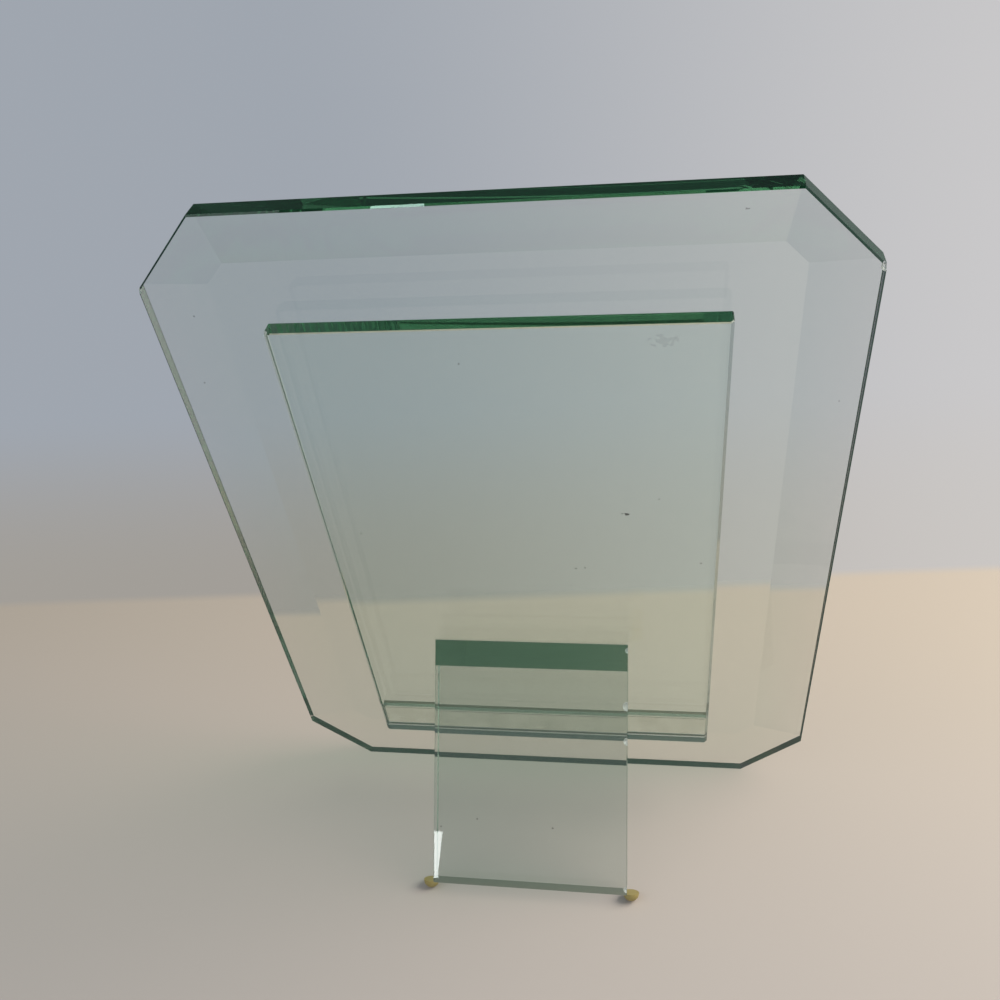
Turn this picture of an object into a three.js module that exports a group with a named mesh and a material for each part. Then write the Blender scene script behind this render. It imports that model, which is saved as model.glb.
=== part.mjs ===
// Floating glass picture frame on an easel leg, in millimetres, +Z up.
// The display side faces -Y, the leg stands behind towards +Y, and the table is Z = 0.
import * as THREE from "three";

// Front plate: thick display glass with clipped corners and a wide bevel round its display face.
const FRONT_W = 203.2;
const FRONT_H = 254.0;
const FRONT_T = 12.0;
const CORNER_CLIP = 21.9;
const BEVEL_W = 18.0;
const BEVEL_CLIP = 6.3;
const EDGE_T = 7.0;
const FRONT_SEAM = 0.5;

// Rear plate: backing glass for a 5 by 7 inch print, raised above the front plate's lower edge.
const REAR_W = 128.6;
const REAR_H = 190.5;
const REAR_T = 5.8;
const REAR_RISE = 31.75;
const REAR_SEAM = 0.3;

// Spacer strip: sets the print slot along the rear plate's lower edge.
const SPACER_H = 12.7;
const SPACER_T = 2.7;

// Easel leg: one glass strip, mitred at the top and cut square at the foot.
const LEG_W = 69.6;
const LEG_T = 10.4;
const LEG_TOP = 91.5;
const LEG_SPREAD = THREE.MathUtils.degToRad(43.8);
const LEG_NOSE = 0.4;
const LEG_ARRIS = 0.25;

// Lean of the plates from the vertical when the frame stands on a table.
const LEAN = THREE.MathUtils.degToRad(18.0);

// Clear adhesive films: thickness, the glass-to-glass gap each one fills, and its setback from the edges.
const BOND_T = 0.14;
const BOND_GAP = 0.2;
const BOND_SETBACK = 0.8;

// Dome bumpers under the leg's foot.
const BUMPER_R = 2.8;
const BUMPER_H = 3.0;
const BUMPER_GAP = 0.1;
const BUMPER_OVERHANG = 1.4;
const BUMPER_INSET = 3.7;
const BUMPER_SIDES = 24;
const BUMPER_RINGS = 10;

// Materials, one for each kind of stuff.
const frontGlass = new THREE.MeshStandardMaterial({ color: 0xa9c4b8, roughness: 0.04, metalness: 0 });
const rearGlass = new THREE.MeshStandardMaterial({ color: 0xb2c9bf, roughness: 0.04, metalness: 0 });
const spacerGlass = new THREE.MeshStandardMaterial({ color: 0x9fbdb0, roughness: 0.05, metalness: 0 });
const legGlass = new THREE.MeshStandardMaterial({ color: 0x98b8a8, roughness: 0.04, metalness: 0 });
const adhesive = new THREE.MeshStandardMaterial({ color: 0xb9b89a, roughness: 0.3, metalness: 0 });
const amberRubber = new THREE.MeshStandardMaterial({ color: 0x8a7c34, roughness: 0.5, metalness: 0 });

// Flat outlines, all listed counter-clockwise.
function rectangle(width, low, high) {
  return [
    new THREE.Vector2(-width / 2, low),
    new THREE.Vector2(width / 2, low),
    new THREE.Vector2(width / 2, high),
    new THREE.Vector2(-width / 2, high),
  ];
}

function clippedRectangle(width, low, high, clip) {
  const half = width / 2;
  return [
    new THREE.Vector2(clip - half, low),
    new THREE.Vector2(half - clip, low),
    new THREE.Vector2(half, low + clip),
    new THREE.Vector2(half, high - clip),
    new THREE.Vector2(half - clip, high),
    new THREE.Vector2(clip - half, high),
    new THREE.Vector2(-half, high - clip),
    new THREE.Vector2(-half, low + clip),
  ];
}

// Each corner is ground off to a narrow land of the given width.
function landCorners(outline, lands) {
  return outline.flatMap((corner, i) => {
    const before = outline[(i + outline.length - 1) % outline.length].clone().sub(corner).normalize();
    const after = outline[(i + 1) % outline.length].clone().sub(corner).normalize();
    const opening = Math.acos(before.dot(after));
    const run = lands[i] / (2 * Math.sin(opening / 2));
    return [corner.clone().addScaledVector(before, run), corner.clone().addScaledVector(after, run)];
  });
}

// The outline moved inwards by one distance on every side.
function insetOutline(outline, distance) {
  return outline.map((corner, i) => {
    const arriving = corner.clone().sub(outline[(i + outline.length - 1) % outline.length]).normalize();
    const leaving = outline[(i + 1) % outline.length].clone().sub(corner).normalize();
    const turn = 1 + arriving.dot(leaving);
    const inward = new THREE.Vector2(-arriving.y - leaving.y, arriving.x + leaving.x);
    return corner.clone().addScaledVector(inward, distance / turn);
  });
}

// A closed slab lofted through its layers, from the lowest up. A layer is the outline moved inwards,
// or an outline of its own with the same number of corners.
function slab(outline, layers) {
  const points = [];
  const faces = [];
  const sides = outline.length;
  layers.forEach(({ inset, own, level }) => {
    (own ?? insetOutline(outline, inset)).forEach((p) => points.push(p.x, p.y, level));
  });
  for (let layer = 0; layer + 1 < layers.length; layer += 1) {
    for (let i = 0; i < sides; i += 1) {
      const a = layer * sides + i;
      const b = layer * sides + ((i + 1) % sides);
      faces.push(a, b, b + sides, a, b + sides, a + sides);
    }
  }
  const top = (layers.length - 1) * sides;
  THREE.ShapeUtils.triangulateShape(outline, []).forEach(([a, b, c]) => {
    faces.push(c, b, a);
    faces.push(top + a, top + b, top + c);
  });
  const shared = new THREE.BufferGeometry();
  shared.setAttribute("position", new THREE.Float32BufferAttribute(points, 3));
  shared.setIndex(faces);
  const geometry = shared.toNonIndexed();
  geometry.computeVertexNormals();
  return geometry;
}

// Layers of a plate whose arrises are seamed alike on both faces.
function seamedLayers(low, high, seam) {
  return [
    { inset: seam, level: low },
    { inset: 0, level: low + seam },
    { inset: 0, level: high - seam },
    { inset: seam, level: high },
  ];
}

function piece(name, geometry, material) {
  const mesh = new THREE.Mesh(geometry, material);
  mesh.name = name;
  return mesh;
}

// The leaning glass: x across, y up the plates, z out of the display side.
// Its z is zero on the front plate's rear face.
const leaning = new THREE.Group();
leaning.name = "leaning_glass";
leaning.rotation.x = Math.PI / 2 - LEAN;
leaning.position.z = -FRONT_SEAM * Math.sin(LEAN);

// The bevel's facets run from the edge to the display face, which has smaller clips at its corners.
const displayFace = clippedRectangle(FRONT_W - 2 * BEVEL_W, BEVEL_W, FRONT_H - BEVEL_W, BEVEL_CLIP);
leaning.add(piece("front_glass", slab(clippedRectangle(FRONT_W, 0, FRONT_H, CORNER_CLIP), [
  { inset: FRONT_SEAM, level: 0 },
  { inset: 0, level: FRONT_SEAM },
  { inset: 0, level: EDGE_T },
  { own: displayFace, level: FRONT_T },
]), frontGlass));

// The spacer stands between two adhesive films, and the rear plate closes the slot.
const spacerFace = -BOND_GAP;
const spacerBack = spacerFace - SPACER_T;
const rearFace = spacerBack - BOND_GAP;
const rearBack = rearFace - REAR_T;
const spacerMiddle = REAR_RISE + SPACER_H / 2;
const bondWidth = REAR_W - 2 * BOND_SETBACK;
const bondHeight = SPACER_H - 2 * BOND_SETBACK;

const spacer = piece("spacer_strip", new THREE.BoxGeometry(REAR_W, SPACER_H, SPACER_T), spacerGlass);
spacer.position.set(0, spacerMiddle, (spacerFace + spacerBack) / 2);
leaning.add(spacer);

const bondFront = piece("bond_spacer_front", new THREE.BoxGeometry(bondWidth, bondHeight, BOND_T), adhesive);
bondFront.position.set(0, spacerMiddle, spacerFace / 2);
leaning.add(bondFront);

const bondRear = piece("bond_spacer_rear", new THREE.BoxGeometry(bondWidth, bondHeight, BOND_T), adhesive);
bondRear.position.set(0, spacerMiddle, (spacerBack + rearFace) / 2);
leaning.add(bondRear);

leaning.add(piece(
  "rear_glass",
  slab(rectangle(REAR_W, REAR_RISE, REAR_RISE + REAR_H), seamedLayers(rearBack, rearFace, REAR_SEAM)),
  rearGlass,
));

// The leg hangs from its mitre: y still runs up the plates, and the foot goes down and out along -z.
const legFace = rearBack - BOND_GAP;
const hung = new THREE.Group();
hung.name = "easel";
hung.position.set(0, LEG_TOP, legFace);
leaning.add(hung);

// The leg's length is what brings the bumpers' domes down to the table at the given lean.
const steep = LEG_SPREAD - LEAN;
const domeR = (BUMPER_R * BUMPER_R + BUMPER_H * BUMPER_H) / (2 * BUMPER_H);
const topHeight = LEG_TOP * Math.cos(LEAN) + legFace * Math.sin(LEAN) + leaning.position.z;
const domeReach = BUMPER_GAP + BUMPER_H - domeR;
const legDrop = topHeight - domeR - BUMPER_INSET * Math.sin(steep);
const legLength = legDrop / Math.cos(steep) - domeReach;

// Side view of the leg: outwards from the rear plate, then up the plates.
const downLeg = new THREE.Vector2(Math.sin(LEG_SPREAD), -Math.cos(LEG_SPREAD));
const outOfLeg = new THREE.Vector2(Math.cos(LEG_SPREAD), Math.sin(LEG_SPREAD));
const mitre = LEG_T / Math.sin(LEG_SPREAD);
const footOuter = downLeg.clone().multiplyScalar(legLength);
const footInner = footOuter.clone().addScaledVector(outOfLeg, -LEG_T);
const legSide = landCorners(
  [new THREE.Vector2(0, 0), new THREE.Vector2(0, -mitre), footInner, footOuter],
  [LEG_NOSE, LEG_ARRIS, LEG_ARRIS, LEG_ARRIS],
);
const leg = piece("easel_leg", slab(legSide, seamedLayers(-LEG_W / 2, LEG_W / 2, LEG_ARRIS)), legGlass);
leg.rotation.y = Math.PI / 2;
hung.add(leg);

const mitreHigh = legSide[1].y - BOND_SETBACK;
const mitreLow = legSide[2].y + BOND_SETBACK;
const legBond = new THREE.BoxGeometry(LEG_W - 2 * BOND_SETBACK, mitreHigh - mitreLow, BOND_T);
const bondLeg = piece("bond_leg", legBond, adhesive);
bondLeg.position.set(0, (mitreHigh + mitreLow) / 2, BOND_GAP / 2);
hung.add(bondLeg);

// Dome bumpers on the foot's square end, each partly out past the leg's side.
const domeProfile = [new THREE.Vector2(0, 0)];
const domeSpan = Math.asin(BUMPER_R / domeR);
const domeSweep = BUMPER_H > domeR ? Math.PI - domeSpan : domeSpan;
for (let ring = 0; ring < BUMPER_RINGS; ring += 1) {
  const turn = domeSweep * (1 - ring / BUMPER_RINGS);
  domeProfile.push(new THREE.Vector2(domeR * Math.sin(turn), BUMPER_H - domeR + domeR * Math.cos(turn)));
}
domeProfile.push(new THREE.Vector2(0, BUMPER_H));

const bumperSeat = footOuter.clone();
bumperSeat.addScaledVector(outOfLeg, -BUMPER_INSET).addScaledVector(downLeg, BUMPER_GAP);
[["bumper_left", -1], ["bumper_right", 1]].forEach(([name, side]) => {
  const bumper = piece(name, new THREE.LatheGeometry(domeProfile, BUMPER_SIDES), amberRubber);
  bumper.rotation.x = Math.PI + LEG_SPREAD;
  bumper.position.set(side * (LEG_W / 2 + BUMPER_OVERHANG), bumperSeat.y, -bumperSeat.x);
  hung.add(bumper);
});

// The whole frame, centred over the table.
const frame = new THREE.Group();
frame.name = "floating_glass_frame";
frame.add(leaning);
frame.updateMatrixWorld(true);
const extent = new THREE.Box3().setFromObject(frame, true);
leaning.position.y = -(extent.min.y + extent.max.y) / 2;

export default frame;
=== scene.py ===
import math

import bpy
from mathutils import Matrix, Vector


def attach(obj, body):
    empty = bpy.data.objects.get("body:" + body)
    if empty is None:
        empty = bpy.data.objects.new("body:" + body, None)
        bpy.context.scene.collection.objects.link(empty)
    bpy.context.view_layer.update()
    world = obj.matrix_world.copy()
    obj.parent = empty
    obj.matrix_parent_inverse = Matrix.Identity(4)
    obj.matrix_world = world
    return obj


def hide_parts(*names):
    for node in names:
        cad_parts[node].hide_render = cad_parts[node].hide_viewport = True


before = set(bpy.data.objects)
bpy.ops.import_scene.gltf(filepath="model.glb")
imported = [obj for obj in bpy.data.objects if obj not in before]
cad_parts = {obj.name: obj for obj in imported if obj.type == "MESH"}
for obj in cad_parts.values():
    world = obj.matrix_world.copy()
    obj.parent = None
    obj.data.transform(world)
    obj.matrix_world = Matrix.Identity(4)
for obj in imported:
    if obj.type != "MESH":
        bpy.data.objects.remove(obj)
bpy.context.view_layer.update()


# Front plate: one pane of thick clear float glass, cut to an octagon, its edge ground flat and polished.
# A wide shallow bevel is ground round the display face. Like every pane here it is worked lying flat,
# with x across, y up the pane and z out of the display side, and then leant back into the standing frame.
LEAN_TURN = math.radians(72.0)
LEAN_FOOT = Vector((0.0, -0.0358392, -0.0001545))
FRONT_W, FRONT_H, FRONT_T = 0.2032, 0.2540, 0.0120
FRONT_EDGE_T = 0.0070
FRONT_CLIP = 0.0219
FRONT_BEVEL_W = 0.0180
FACE_CLIP = 0.0063
FRONT_ARRIS, FRONT_FAR_ARRIS = 0.0005, 0.00012
SEAMED_ANGLE = math.radians(50)
FRONT_CHIPS = ((-1, 0.0016, 3), (1, 0.0011, 5))
FLAKE_JAG = 0.10
FLAKE_MARK = 1.2

# How far the sides were left ground, right and left as seen from the display side, and how far a face's
# normal has to point one way to count as an end, a side, an arris or an edge.
FRONT_RIGHT_CUT, FRONT_LEFT_CUT = 0.55, 0.75
SQUARE_ON, SIDEWAYS, CORNERWAYS, HALF_WAY = 0.9, 0.6, 0.45, 0.5

# The spacer strip's joint, which the plate's finish needs to know: sizes up the pane and through it.
REAR_W, REAR_RISE = 0.1286, 0.03175
SPACER_H, SPACER_T = 0.0127, 0.0027
BOND_GAP, BOND_SETBACK = 0.0002, 0.0008
SPACER_FACE = -BOND_GAP
SPACER_BACK = SPACER_FACE - SPACER_T
REAR_FACE = SPACER_BACK - BOND_GAP
FACE_PLAY = 0.0001

# Clear where light goes straight through, green along the edges and over a long way through the glass.
GLASS_CLEAR = (0.925, 0.915, 0.91, 1.0)
GLASS_EDGE = (0.46, 0.58, 0.54, 1.0)
GLASS_SHADOW = (0.915, 0.905, 0.920, 1.0)
GLASS_DEPTH_COLOUR = (0.32, 0.78, 0.57, 1.0)
GLASS_DEPTH_DENSITY = 11.0
GLASS_IOR = 1.52
# The ground colour of the front plate's cut faces is nearly black: on the sides it is the ground finish, on
# the foot it is also painted shade of the shadowed floor under the bottom edge.
GROUND_AND_SHADE_DARK = (0.035, 0.068, 0.056, 1.0)
BROKEN = (0.78, 0.84, 0.81, 1.0)
GRIME = (0.13, 0.135, 0.125, 1.0)

# Scale and detail of the wipe marks, the grinding and the smears' streaks, and what each of them does.
WIPES, GRINDING, STREAKS = (16.0, 4.0), (900.0, 2.0), (650.0, 3.0)
WIPED_FROM, DUSTY_FROM, STREAKED_FROM = 0.62, 0.5, 0.5
WIPE_ROUGH, EDGE_ROUGH, CUT_ROUGH = 0.015, 0.05, 0.08
GROUND_SPAN, GROUND_LEAST = 0.1, 0.9
CHIP_SPAN, CHIP_LEAST = 0.6, 0.1
DUST_SCALE, DUST_SIZE, DUST_LEVEL = 75.0, 0.026, 0.4
FRONT_SMEARS = ((-0.0662, 0.2494, 0.0010, 0.0006, 0.45),)


def pane_block(name, low, high):
    """A sawn block of glass between two corners."""
    bpy.ops.object.select_all(action="DESELECT")
    bpy.ops.mesh.primitive_cube_add(size=1, location=[(a + b) / 2 for a, b in zip(low, high)])
    block = bpy.context.object
    block.name = block.data.name = name
    block.scale = [b - a for a, b in zip(low, high)]
    bpy.ops.object.transform_apply(location=True, rotation=True, scale=True)
    return block


def take(piece):
    """Makes one piece the only selected and the active one."""
    bpy.ops.object.select_all(action="DESELECT")
    piece.select_set(True)
    bpy.context.view_layer.objects.active = piece


def saw(piece, at, outward, through=True):
    """One straight cut: all that lies on the outward side falls away and the cut is closed.
    A cut that doesn't go through only scores a line round the piece."""
    take(piece)
    bpy.ops.object.mode_set(mode="EDIT")
    bpy.ops.mesh.select_all(action="SELECT")
    bpy.ops.mesh.bisect(plane_co=at, plane_no=outward, use_fill=through, clear_outer=through)
    bpy.ops.object.mode_set(mode="OBJECT")


def pick_faces(piece, wanted):
    """Selects in edit mode the faces for which wanted(normal) holds."""
    take(piece)
    bpy.context.tool_settings.mesh_select_mode = (False, False, True)
    bpy.ops.object.mode_set(mode="EDIT")
    bpy.ops.mesh.select_all(action="DESELECT")
    bpy.ops.object.mode_set(mode="OBJECT")
    for face in piece.data.polygons:
        face.select = wanted(face.normal)
    bpy.ops.object.mode_set(mode="EDIT")


def seam_arrises(piece, width):
    """Takes the sharpness off every square arris with a narrow flat."""
    take(piece)
    bpy.ops.object.modifier_add(type="BEVEL")
    seam = piece.modifiers[-1]
    seam.width = width
    seam.segments = 1
    seam.limit_method = "ANGLE"
    seam.angle_limit = SEAMED_ANGLE
    bpy.ops.object.modifier_apply(modifier=seam.name)


def mark_faces(piece, name, wanted):
    """Stores on each face how far wanted(normal, centre) holds, for the finish to read."""
    marks = piece.data.attributes.new(name, "FLOAT", "FACE")
    for face in piece.data.polygons:
        marks.data[face.index].value = float(wanted(face.normal, face.center))


def flake_off(piece, at, reach, seed):
    """A shell-shaped flake broken out of an arris."""
    bpy.ops.object.select_all(action="DESELECT")
    bpy.ops.mesh.primitive_ico_sphere_add(subdivisions=3, radius=reach, location=at)
    flake = bpy.context.object
    bpy.ops.object.mode_set(mode="EDIT")
    bpy.ops.mesh.select_all(action="SELECT")
    bpy.ops.transform.vertex_random(offset=reach * FLAKE_JAG, seed=seed)
    bpy.ops.object.mode_set(mode="OBJECT")
    take(piece)
    bpy.ops.object.modifier_add(type="BOOLEAN")
    bite = piece.modifiers[-1]
    bite.operation = "DIFFERENCE"
    bite.solver = "EXACT"
    bite.object = flake
    bpy.ops.object.modifier_apply(modifier=bite.name)
    bpy.data.objects.remove(flake)


def chip_arris(piece, chips):
    """Breaks out each flake, given by its place, reach and seed, and marks the faces it leaves."""
    for at, reach, seed in chips:
        flake_off(piece, at, reach, seed)
    mark_faces(piece, "chip", lambda normal, centre: any(
        (centre - Vector(at)).length < FLAKE_MARK * reach for at, reach, seed in chips))


def lean_back(piece):
    """Leans a pane that was worked flat back to its place in the standing frame."""
    take(piece)
    piece.rotation_euler = (LEAN_TURN, 0.0, 0.0)
    piece.location = LEAN_FOOT
    bpy.ops.object.transform_apply(location=True, rotation=True, scale=True)


class Shade:
    """One socket of a finish. Arithmetic and comparisons add Math nodes, and make() adds any other node."""

    def __init__(self, tree, socket=None):
        self.tree = tree
        self.socket = socket

    def make(self, kind, settings=None, sockets=None, out=0):
        node = self.tree.nodes.new(kind)
        for name, value in (settings or {}).items():
            if name == "stops":
                while len(node.color_ramp.elements) < len(value):
                    node.color_ramp.elements.new(0.5)
                for stop, (position, colour) in zip(node.color_ramp.elements, value):
                    stop.position, stop.color = position, colour
            else:
                setattr(node, name, value)
        for name, value in (sockets or {}).items():
            if isinstance(value, Shade):
                self.tree.links.new(value.socket, node.inputs[name])
            else:
                node.inputs[name].default_value = value
        return Shade(self.tree, node.outputs[out] if len(node.outputs) else None)

    def math(self, operation, first, second):
        return self.make("ShaderNodeMath", {"operation": operation}, {0: first, 1: second})

    def __add__(self, other):
        return self.math("ADD", self, other)

    def __sub__(self, other):
        return self.math("SUBTRACT", self, other)

    def __rsub__(self, other):
        return self.math("SUBTRACT", other, self)

    def __mul__(self, other):
        return self.math("MULTIPLY", self, other)

    def __truediv__(self, other):
        return self.math("DIVIDE", self, other)

    def __rtruediv__(self, other):
        return self.math("DIVIDE", other, self)

    __radd__ = __add__
    __rmul__ = __mul__

    def __gt__(self, other):
        return self.math("GREATER_THAN", self, other)

    def __lt__(self, other):
        return self.math("LESS_THAN", self, other)

    def within(self, low, high):
        return (self > low) * (self < high)

    def most(self, other):
        return self.math("MAXIMUM", self, other)


def new_finish(name):
    """An empty material with the shade that its nodes are made from."""
    material = bpy.data.materials.new(name)
    material.use_nodes = True
    material.node_tree.nodes.clear()
    return material, Shade(material.node_tree)


def clouded(shade, place, scale, detail):
    """Soft noise between 0 and 1."""
    return shade.make("ShaderNodeTexNoise", sockets={
        "Vector": place, "Scale": scale, "Detail": detail,
    }, out="Fac")


def blend(shade, factor, first, second):
    """A colour between two others."""
    return shade.make("ShaderNodeMix", {"data_type": "RGBA"}, {"Factor": factor, 6: first, 7: second}, out=2)


def lay_over(shade, factor, under, top):
    """One finish laid over another, as far as the factor says."""
    return shade.make("ShaderNodeMixShader", sockets={0: factor, 1: under, 2: top})


def spacer_wetted(x, y, z):
    """Where the spacer strip's adhesive spreads, in the flat pane frame."""
    reach = REAR_W / 2 - BOND_SETBACK
    spread = x.within(-reach, reach)
    spread = spread * y.within(REAR_RISE + BOND_SETBACK, REAR_RISE + SPACER_H - BOND_SETBACK)
    return spread * z.within(REAR_FACE - FACE_PLAY, FACE_PLAY)


def clear_glass(name, clear_colour, ground_and_shade_colour, back=0.0, smears=(), wetted=None):
    """Clear float glass, greener the longer the way through it, with wipe marks and a little dust.
    Cut faces are left ground in the given ground colour; where that colour is dark on a foot, it is also
    painted shade of the shadowed floor under the foot. Chips are bright. A smear on the back face has a
    place, a half size and a strength. wetted(x, y, z) says where adhesive wets a face, so that it no longer
    shows."""
    material, shade = new_finish(name)
    place = shade.make("ShaderNodeTexCoord", out="Object")
    flat = shade.make(
        "ShaderNodeMapping", {"vector_type": "TEXTURE"},
        {"Vector": place, "Location": LEAN_FOOT, "Rotation": (LEAN_TURN, 0.0, 0.0)},
    )
    x, y, z = (shade.make("ShaderNodeSeparateXYZ", sockets={"Vector": flat}, out=i) for i in range(3))
    edge, cut, chip = (
        shade.make("ShaderNodeAttribute", {"attribute_name": mark}, out="Fac")
        for mark in ("edge", "cut", "chip")
    )
    wiped, ground, streaks = (clouded(shade, flat, *grain) for grain in (WIPES, GRINDING, STREAKS))
    body = shade.make("ShaderNodeBsdfPrincipled", sockets={
        "Base Color": blend(shade, edge, clear_colour, GLASS_EDGE),
        "Roughness": (wiped > WIPED_FROM) * WIPE_ROUGH + edge * ground * EDGE_ROUGH + cut * CUT_ROUGH,
        "IOR": GLASS_IOR,
        "Transmission Weight": 1.0,
    })

    dust = shade.make("ShaderNodeTexVoronoi", sockets={"Vector": flat, "Scale": DUST_SCALE}, out="Distance")
    soil = (dust < DUST_SIZE) * (wiped > DUSTY_FROM) * DUST_LEVEL
    for at_x, at_y, half_x, half_y, strength in smears:
        off_x, off_y = (x - at_x) / half_x, (y - at_y) / half_y
        spot = (off_x * off_x + off_y * off_y < 1.0) * (streaks > STREAKED_FROM)
        soil = soil.most(spot * (z < back + FACE_PLAY) * strength)
    body = lay_over(shade, soil, body, shade.make("ShaderNodeBsdfDiffuse", sockets={"Color": GRIME}))
    if wetted:
        body = lay_over(shade, wetted(x, y, z), body, shade.make("ShaderNodeBsdfTransparent"))
    # Ground finish on the cut faces; on a foot its dark colour is also painted shade of the floor under it.
    frost_and_shade = shade.make("ShaderNodeBsdfDiffuse", sockets={"Color": ground_and_shade_colour})
    body = lay_over(shade, cut * (ground * GROUND_SPAN + GROUND_LEAST), body, frost_and_shade)
    broken = shade.make("ShaderNodeBsdfDiffuse", sockets={"Color": BROKEN})
    body = lay_over(shade, chip * (ground * CHIP_SPAN + CHIP_LEAST), body, broken)

    lit_through = shade.make("ShaderNodeBsdfTransparent", sockets={"Color": GLASS_SHADOW})
    shadow, scattered = (
        shade.make("ShaderNodeLightPath", out=kind) for kind in ("Is Shadow Ray", "Is Diffuse Ray")
    )
    body = lay_over(shade, shadow.most(scattered), body, lit_through)
    depth = shade.make("ShaderNodeVolumeAbsorption", sockets={
        "Color": GLASS_DEPTH_COLOUR, "Density": GLASS_DEPTH_DENSITY,
    })
    shade.make("ShaderNodeOutputMaterial", sockets={"Surface": body, "Volume": depth})
    return material


def fit_piece(piece, material, node):
    """Gives a finished piece its material and puts it in the place of its solid."""
    piece.data.materials.append(material)
    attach(piece, "root")
    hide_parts(node)


def front_cut(normal):
    """How much was left ground: all of the foot and of the back's side arrises, less of the two sides. On the
    foot the dark ground colour is also painted shade, standing in for the shadowed floor under the bottom
    edge that the top edge sees down through the plate.
    """
    if normal.y < -SQUARE_ON or (abs(normal.x) > CORNERWAYS and normal.z < -HALF_WAY):
        return 1.0
    return FRONT_RIGHT_CUT * (normal.x > SIDEWAYS) + FRONT_LEFT_CUT * (normal.x < -SIDEWAYS)


front = pane_block("front_pane", (-FRONT_W / 2, 0.0, 0.0), (FRONT_W / 2, FRONT_H, FRONT_T))
middle = Vector((0.0, FRONT_H / 2, FRONT_EDGE_T))
across, along = Vector((FRONT_W / 2, 0.0, 0.0)), Vector((0.0, FRONT_H / 2, 0.0))
clips = []
for corner in (across + along, across - along, -across + along, -across - along):
    outward = Vector((math.copysign(1, corner.x), math.copysign(1, corner.y), 0.0)).normalized()
    clips.append((corner - outward * FRONT_CLIP / math.sqrt(2), outward))
    saw(front, middle + clips[-1][0], outward)
clip_bevel_w = (2 * FRONT_BEVEL_W + FACE_CLIP - FRONT_CLIP) / math.sqrt(2)
facets = [(side, side.normalized(), FRONT_BEVEL_W) for side in (across, -across, along, -along)]
for at, outward, width in facets + [(at, outward, clip_bevel_w) for at, outward in clips]:
    saw(front, middle + at, (outward * (FRONT_T - FRONT_EDGE_T) + Vector((0.0, 0.0, width))).normalized())
pick_faces(front, lambda normal: normal.z < -SQUARE_ON)
bpy.ops.mesh.region_to_loop()
bpy.ops.mesh.bevel(offset=FRONT_ARRIS, segments=1)
bpy.ops.object.mode_set(mode="OBJECT")
seam_arrises(front, FRONT_FAR_ARRIS)
chip_arris(front, [
    ((side * FRONT_W / 2, FRONT_H - FRONT_CLIP, 0.0), reach, seed) for side, reach, seed in FRONT_CHIPS
])
mark_faces(front, "edge", lambda normal, centre: abs(normal.z) < HALF_WAY)
mark_faces(front, "cut", lambda normal, centre: front_cut(normal))
lean_back(front)
front_finish = clear_glass("front_glass_finish", GLASS_CLEAR, GROUND_AND_SHADE_DARK, 0.0, FRONT_SMEARS, spacer_wetted)
fit_piece(front, front_finish, "front_glass")


# Spacer strip: a low strip of clear glass bonded between the panes along the rear pane's lower edge.
# Its two broad faces are wetted by clear adhesive and no longer show.
# The front half of its top edge is ground.
GROUND_OLIVE = (0.12, 0.115, 0.075, 1.0)
SPACER_ARRIS = 0.0002
SPACER_SCORE = (SPACER_FACE + SPACER_BACK) / 2
SPACER_TOP_CUT, SPACER_FOOT_CUT = 0.8, 0.3


def spacer_cut(normal, centre):
    """How much was left ground: most of the top's front half, less of the foot."""
    if normal.y > SQUARE_ON and centre.z > SPACER_SCORE:
        return SPACER_TOP_CUT
    return SPACER_FOOT_CUT * (normal.y < -SQUARE_ON)


spacer = pane_block(
    "spacer_pane",
    (-REAR_W / 2, REAR_RISE, SPACER_BACK),
    (REAR_W / 2, REAR_RISE + SPACER_H, SPACER_FACE),
)
seam_arrises(spacer, SPACER_ARRIS)
saw(spacer, (0.0, 0.0, SPACER_SCORE), (0.0, 0.0, 1.0), through=False)
mark_faces(spacer, "edge", lambda normal, centre: abs(normal.z) < HALF_WAY)
mark_faces(spacer, "cut", spacer_cut)
lean_back(spacer)
spacer_finish = clear_glass("spacer_glass_finish", GLASS_CLEAR, GROUND_OLIVE, wetted=spacer_wetted)
fit_piece(spacer, spacer_finish, "spacer_strip")


# Rear pane: a plain rectangle of thinner clear glass, bonded to the spacer strip. Its arrises are seamed,
# the two upright ones at the back with a wider ground flat.
# It holds a print against the front plate, and it carries the leg on its back.
REAR_H, REAR_T = 0.1905, 0.0058
REAR_BACK = REAR_FACE - REAR_T
REAR_ARRIS, REAR_SIDE_ARRIS = 0.0003, 0.0010
REAR_CLEAR = (0.93, 0.96, 0.945, 1.0)
GROUND_PALE = (0.10, 0.135, 0.12, 1.0)
REAR_FOOT_CUT, REAR_SIDE_CUT, REAR_ARRIS_CUT = 0.3, 0.75, 0.22
REAR_CHIPS = (((REAR_W / 2, REAR_RISE + REAR_H, REAR_BACK + 0.0006), 0.0013, 7),)
REAR_SMEARS = (
    (-0.0463, 0.2172, 0.0044, 0.0021, 0.10),
    (-0.0350, 0.1541, 0.0014, 0.0005, 0.9),
)


def rear_cut(normal):
    """How much was left ground: most of the sides, less of the foot, least of the wide arrises."""
    if HALF_WAY < abs(normal.x) < SQUARE_ON and normal.z < -HALF_WAY:
        return REAR_ARRIS_CUT
    return REAR_FOOT_CUT * (normal.y < -SQUARE_ON) + REAR_SIDE_CUT * (abs(normal.x) > SQUARE_ON)


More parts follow.
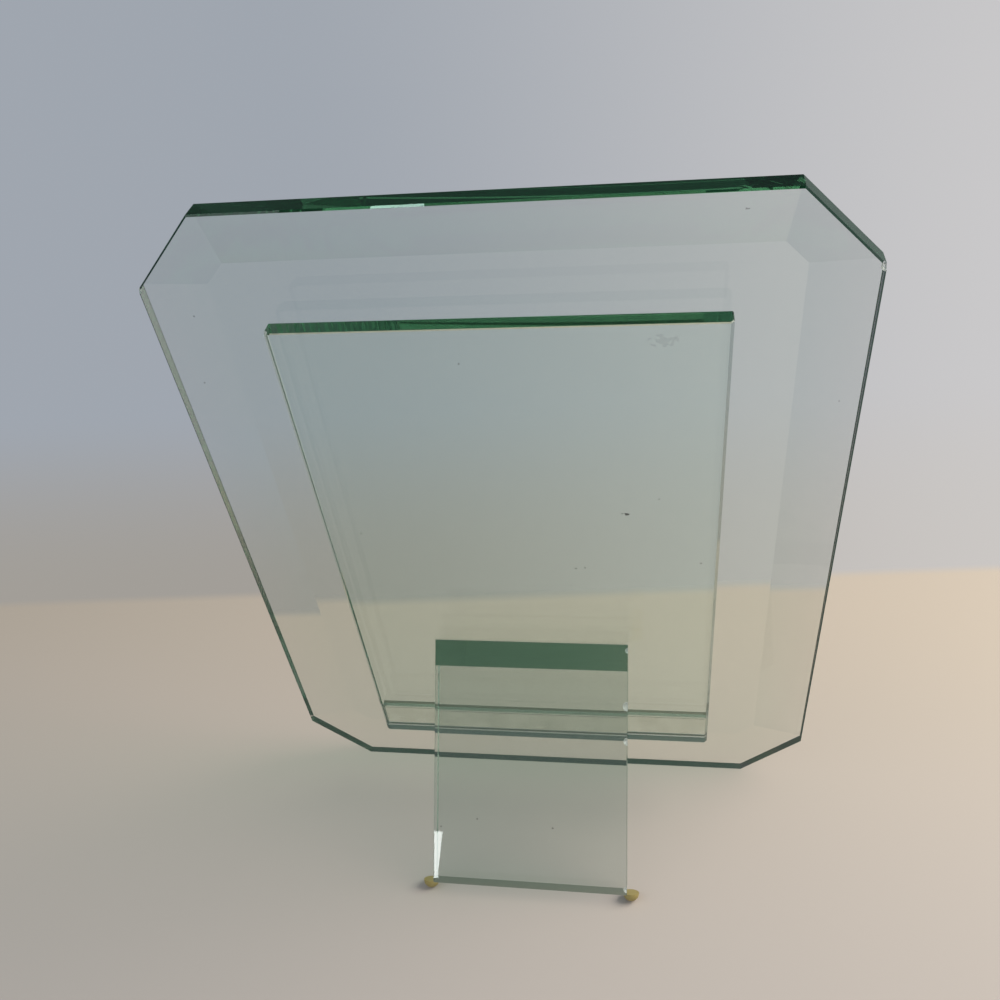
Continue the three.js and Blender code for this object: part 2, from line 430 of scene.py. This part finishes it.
rear = pane_block(
    "rear_pane", (-REAR_W / 2, REAR_RISE, REAR_BACK), (REAR_W / 2, REAR_RISE + REAR_H, REAR_FACE)
)
for side in (-1, 1):
    arris = (side * (REAR_W / 2 - REAR_SIDE_ARRIS), 0.0, REAR_BACK)
    saw(rear, arris, Vector((side, 0.0, -1.0)).normalized())
seam_arrises(rear, REAR_ARRIS)
chip_arris(rear, REAR_CHIPS)
mark_faces(rear, "edge", lambda normal, centre: abs(normal.z) < HALF_WAY)
mark_faces(rear, "cut", lambda normal, centre: rear_cut(normal))
lean_back(rear)
rear_finish = clear_glass("rear_glass_finish", REAR_CLEAR, GROUND_PALE, REAR_BACK, REAR_SMEARS, spacer_wetted)
fit_piece(rear, rear_finish, "rear_glass")


# Easel leg: one strip of clear glass, its top end cut to a mitre that is bonded flat to the rear pane.
# The foot is cut square, and the arrises are seamed. One long arris is chipped in four places.
LEG_W, LEG_T = 0.0696, 0.0104
LEG_TOP = 0.0915
LEG_SPREAD = math.radians(43.8)
LEG_LENGTH = 0.08816
LEG_SPARE = 0.020
LEG_NOSE = 0.0004
LEG_ARRIS = 0.00025
LEG_FACE = REAR_BACK - BOND_GAP
LEG_TIP = Vector((0.0, LEG_TOP, LEG_FACE))
LEG_DOWN = Vector((0.0, -math.cos(LEG_SPREAD), -math.sin(LEG_SPREAD)))
NOSE_IN = Vector((0.0, -math.cos(LEG_SPREAD / 2), -math.sin(LEG_SPREAD / 2)))
# The leg's clear colour is darker than the other panes'. This is partly for its thicker glass and partly
# painted shade of the shadowed floor seen through it.
LEG_CLEAR_AND_SHADE = (0.825, 0.84, 0.835, 1.0)
# The leg's ground colour is dark partly as painted shade: the foot stands in for the shadowed floor under it,
# which the strip at the leg's top sees down its length.
GROUND_AND_SHADE_GREY = (0.21, 0.225, 0.18, 1.0)
LEG_CHIPS = ((0.0025, 0.0010), (0.0222, 0.0017), (0.0345, 0.0014), (0.0862, 0.0012))
LEG_CHIP_SEED = 11

leg = pane_block(
    "leg_pane", (-LEG_W / 2, -LEG_LENGTH - LEG_SPARE, 0.0), (LEG_W / 2, LEG_SPARE, LEG_T)
)
seam_arrises(leg, LEG_ARRIS)
take(leg)
leg.rotation_euler = (LEG_SPREAD, 0.0, 0.0)
leg.location = LEG_TIP
bpy.ops.object.transform_apply(location=True, rotation=True, scale=True)
saw(leg, (0.0, 0.0, LEG_FACE), (0.0, 0.0, 1.0))
saw(leg, LEG_TIP + NOSE_IN * LEG_NOSE / (2 * math.tan(LEG_SPREAD / 2)), -NOSE_IN)
saw(leg, LEG_TIP + LEG_DOWN * LEG_LENGTH, LEG_DOWN)
chip_arris(leg, [
    (LEG_TIP + LEG_DOWN * down - Vector((LEG_W / 2, 0.0, 0.0)), reach, LEG_CHIP_SEED)
    for down, reach in LEG_CHIPS
])
mark_faces(leg, "edge", lambda normal, centre: abs(normal.x) > HALF_WAY)
mark_faces(leg, "cut", lambda normal, centre: (
    normal.dot(LEG_DOWN) > SQUARE_ON or normal.dot(NOSE_IN) < -SQUARE_ON))
lean_back(leg)
fit_piece(leg, clear_glass("leg_glass_finish", LEG_CLEAR_AND_SHADE, GROUND_AND_SHADE_GREY), "easel_leg")


# Adhesive films: clear cured adhesive, faintly yellow, in the two spacer joints and under the leg's mitre.
# It lies unevenly, so it is clearer in some places than in others. The solids stay and are finished again.
ADHESIVE = (0.52, 0.50, 0.30, 1.0)
ADHESIVE_ROUGH = 0.35
ADHESIVE_CLOUDS = (120.0, 3.0)
ADHESIVE_SPAN, ADHESIVE_LEAST = 0.12, 0.01


def refinish(names, material):
    """Gives solids that stay as they are a better finish."""
    for name in names:
        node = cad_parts[name]
        node.data.materials.clear()
        node.data.materials.append(material)


film, shade = new_finish("adhesive_finish")
place = shade.make("ShaderNodeTexCoord", out="Object")
cured = shade.make("ShaderNodeBsdfPrincipled", sockets={
    "Base Color": ADHESIVE,
    "Roughness": ADHESIVE_ROUGH,
    "Alpha": clouded(shade, place, *ADHESIVE_CLOUDS) * ADHESIVE_SPAN + ADHESIVE_LEAST,
})
shade.make("ShaderNodeOutputMaterial", sockets={"Surface": cured})
refinish(("bond_spacer_front", "bond_spacer_rear", "bond_leg"), film)


# Bumpers: two small soft domes stuck under the leg's foot, yellowed with age and a little dusty.
# Their solids stay and are finished again.
BUMPER_COLOUR = (0.36, 0.27, 0.06, 1.0)
BUMPER_DUST = (0.42, 0.38, 0.22, 1.0)
BUMPER_CLOUDS = (700.0, 3.0)
BUMPER_DUST_LEVEL = 0.6
BUMPER_ROUGH_SPAN, BUMPER_ROUGH_LEAST = 0.3, 0.35

amber, shade = new_finish("bumper_finish")
place = shade.make("ShaderNodeTexCoord", out="Object")
dust = clouded(shade, place, *BUMPER_CLOUDS)
soft = shade.make("ShaderNodeBsdfPrincipled", sockets={
    "Base Color": blend(shade, dust * BUMPER_DUST_LEVEL, BUMPER_COLOUR, BUMPER_DUST),
    "Roughness": dust * BUMPER_ROUGH_SPAN + BUMPER_ROUGH_LEAST,
})
shade.make("ShaderNodeOutputMaterial", sockets={"Surface": soft})
refinish(("bumper_left", "bumper_right"), amber)


# Floor: plain and pale, warm around the object and cooler past a line, where it shades off to one side.
# Past that line, and far from the object, it shows its own pale colour to the eye, to glass and to gloss,
# whatever light falls there.
FLOOR_SIZE, FLOOR_AT = 60.0, (0.0, 0.0, -0.0002)
FLOOR_FRONT, FLOOR_BACK = (0.545, 0.495, 0.455, 1.0), (0.585, 0.508, 0.420, 1.0)
FLOOR_FRONT_FROM = 0.12
# The last value is how far past the line the warmer tones fade out: painted bounce light from the floor.
FAR_LINE, FAR_SLANT, FAR_BLUR, BOUNCE_REACH = -0.190, -0.111, 0.006, 0.36
FAR_TONES = (0.350, 0.382, 0.430, 1.0), (0.600, 0.590, 0.595, 1.0)
FAR_SIDES = 0.40, -0.45
# The surround's left and right tones at the line, warmer than the far ones: painted light bounced up from the
# floor.
BOUNCE_LIT_TONES = (0.362, 0.342, 0.314, 1.0), (0.600, 0.575, 0.555, 1.0)
FAR_MIDDLE = (0.500, 0.495, 0.500, 1.0)
UNLIT = (0.0, 0.0, 0.0, 1.0)
AWAY_SQUARED = 0.22, 1.00
EYE_AT, EYE_HIGH = (-0.04421, 0.29095), 0.27211


def eased(shade, value, low, high):
    """0 at the low value and 1 at the high one, with a soft start and end."""
    return shade.make("ShaderNodeMapRange", {"interpolation_type": "SMOOTHSTEP"}, {
        "Value": value, "From Min": low, "From Max": high,
    })


def far_colour(shade, aside, tones):
    """The pale surround, from its left tone to its right one."""
    return blend(shade, eased(shade, aside, *FAR_SIDES), *tones)


def seen_directly(shade):
    """Whether a ray comes from the eye, from gloss or through glass."""
    eye, gloss, glass = (shade.make("ShaderNodeLightPath", out=kind) for kind in (
        "Is Camera Ray", "Is Glossy Ray", "Is Transmission Ray"))
    return eye.most(gloss).most(glass)


def matt_coat(shade, colour, shown=UNLIT):
    """A matt coat that takes the light in one colour and shows another by itself."""
    return shade.make("ShaderNodeBsdfPrincipled", sockets={
        "Base Color": colour, "Roughness": 1.0, "Specular IOR Level": 0.0,
        "Emission Color": shown, "Emission Strength": 1.0,
    })


bpy.ops.object.select_all(action="DESELECT")
bpy.ops.mesh.primitive_plane_add(size=FLOOR_SIZE, location=FLOOR_AT)
floor = bpy.context.object
floor.name = "floor"
paint, shade = new_finish("floor_finish")
place = shade.make("ShaderNodeTexCoord", out="Object")
x, y = (shade.make("ShaderNodeSeparateXYZ", sockets={"Vector": place}, out=i) for i in range(2))
slanted = y + x * FAR_SLANT
beyond = eased(shade, slanted, FAR_LINE + FAR_BLUR, FAR_LINE - FAR_BLUR)
aside = (x - EYE_AT[0]) / (EYE_AT[1] - y)
# Near the line the surround takes on the warmer tones, as painted bounce light from the floor.
far = blend(
    shade, eased(shade, slanted, FAR_LINE - BOUNCE_REACH, FAR_LINE),
    far_colour(shade, aside, FAR_TONES), far_colour(shade, aside, BOUNCE_LIT_TONES),
)
near = matt_coat(shade, blend(shade, eased(shade, y, FAR_LINE, FLOOR_FRONT_FROM), FLOOR_BACK, FLOOR_FRONT))
surround = lay_over(shade, seen_directly(shade), matt_coat(shade, far), matt_coat(shade, UNLIT, far))
laid = lay_over(shade, beyond, near, surround)
away = eased(shade, x * x + y * y, *AWAY_SQUARED) * (1.0 - beyond) * seen_directly(shade)
laid = lay_over(shade, away, laid, matt_coat(shade, UNLIT, FAR_MIDDLE))
shade.make("ShaderNodeOutputMaterial", sockets={"Surface": laid})
floor.data.materials.append(paint)


# Light: a wide warm soft box to the camera's right, a cool one to its left, and two strips for the glints.
# The surround is pale at the horizon and dim overhead, and it lights the floor evenly.
SURROUND = (0.80, 0.86, 0.95, 1.0)
SURROUND_LEVEL = 0.38
RISE_STOPS = ((0.0, (0.0, 0.0, 0.0, 1.0)), (0.13, (0.0, 0.0, 0.0, 1.0)), (0.34, (1.0, 1.0, 1.0, 1.0)))
OVERHEAD_STOPS = ((0.60, (0.075, 0.085, 0.095, 1.0)), (1.0, (0.08, 0.14, 0.13, 1.0)))
ASIDE_FROM, ASIDE_LEAST = 0.02, 0.05
FACING = -0.30, 0.30
FLANKS = (0.045, 0.05, 0.052, 1.0)
FLANK_SQUARED = 0.80, 0.95
LAMPS = (
    ("box_right", (-0.70, -0.10, 0.68), (0.70, 0.70), 9.5, (1.0, 0.93, 0.84)),
    ("box_left", (1.00, 0.70, 0.90), (0.90, 0.90), 3.0, (0.88, 0.95, 1.0)),
    ("strip_high", (0.40, 1.03, 1.30), (0.09, 0.30), 0.9, (0.72, 1.0, 0.95)),
    ("strip_low", (0.407, 1.50, 0.178), (0.126, 0.08), 0.42, (0.95, 1.0, 0.98)),
)
LAMPS_AIM = Vector((0.0, 0.0, 0.08))

world = bpy.data.worlds.new("studio")
world.use_nodes = True
bpy.context.scene.world = world
world.node_tree.nodes.clear()
sky = Shade(world.node_tree)
toward = sky.make("ShaderNodeTexCoord", out="Generated")
x, y, z = (sky.make("ShaderNodeSeparateXYZ", sockets={"Vector": toward}, out=i) for i in range(3))
rise = sky.make("ShaderNodeValToRGB", {"stops": RISE_STOPS}, {"Fac": z})
zenith = sky.make("ShaderNodeValToRGB", {"stops": OVERHEAD_STOPS}, {"Fac": z})
aside = x / (ASIDE_FROM - y).most(ASIDE_LEAST)
pale = blend(sky, eased(sky, y, *FACING), far_colour(sky, aside, FAR_TONES), FAR_MIDDLE)
dome = blend(sky, rise, pale, zenith)
dome = blend(sky, eased(sky, x * x, *FLANK_SQUARED), dome, FLANKS)
dome = blend(sky, sky.make("ShaderNodeLightPath", out="Is Camera Ray"), dome, pale)
even = sky.make("ShaderNodeBackground", sockets={"Color": SURROUND, "Strength": SURROUND_LEVEL})
shown = sky.make("ShaderNodeBackground", sockets={"Color": dome})
sky.make("ShaderNodeOutputWorld", sockets={"Surface": lay_over(sky, seen_directly(sky), even, shown)})
for name, at, (wide, high), power, tint in LAMPS:
    lamp = bpy.data.lights.new(name, "AREA")
    lamp.shape = "RECTANGLE"
    lamp.size, lamp.size_y = wide, high
    lamp.energy = power
    lamp.color = tint
    lit = bpy.data.objects.new(name, lamp)
    lit.location = at
    lit.rotation_euler = (LAMPS_AIM - Vector(at)).to_track_quat("-Z", "Y").to_euler()
    lit.visible_camera = False
    lit.visible_transmission = False
    bpy.context.scene.collection.objects.link(lit)


# Camera: behind the frame and above it, a little to one side, looking down through both panes.
# Light is followed for many bounces, because it crosses one glass face after another.
SENSOR_W, LENS, CLIP_START = 36.0, 34.570, 0.01
EYE_TURN = [math.radians(a) for a in (65.7184, 3.6148, -171.5397)]
ALL_BOUNCES, GLASS_BOUNCES = 48, 32

view = bpy.data.cameras.new("camera")
view.sensor_width = SENSOR_W
view.lens = LENS
view.clip_start = CLIP_START
camera = bpy.data.objects.new("camera", view)
camera.location = (*EYE_AT, EYE_HIGH)
camera.rotation_euler = EYE_TURN
scene = bpy.context.scene
scene.collection.objects.link(camera)
scene.camera = camera
scene.view_settings.view_transform = "Standard"
scene.cycles.max_bounces = ALL_BOUNCES
scene.cycles.transmission_bounces = GLASS_BOUNCES
scene.cycles.glossy_bounces = GLASS_BOUNCES
scene.cycles.transparent_max_bounces = GLASS_BOUNCES
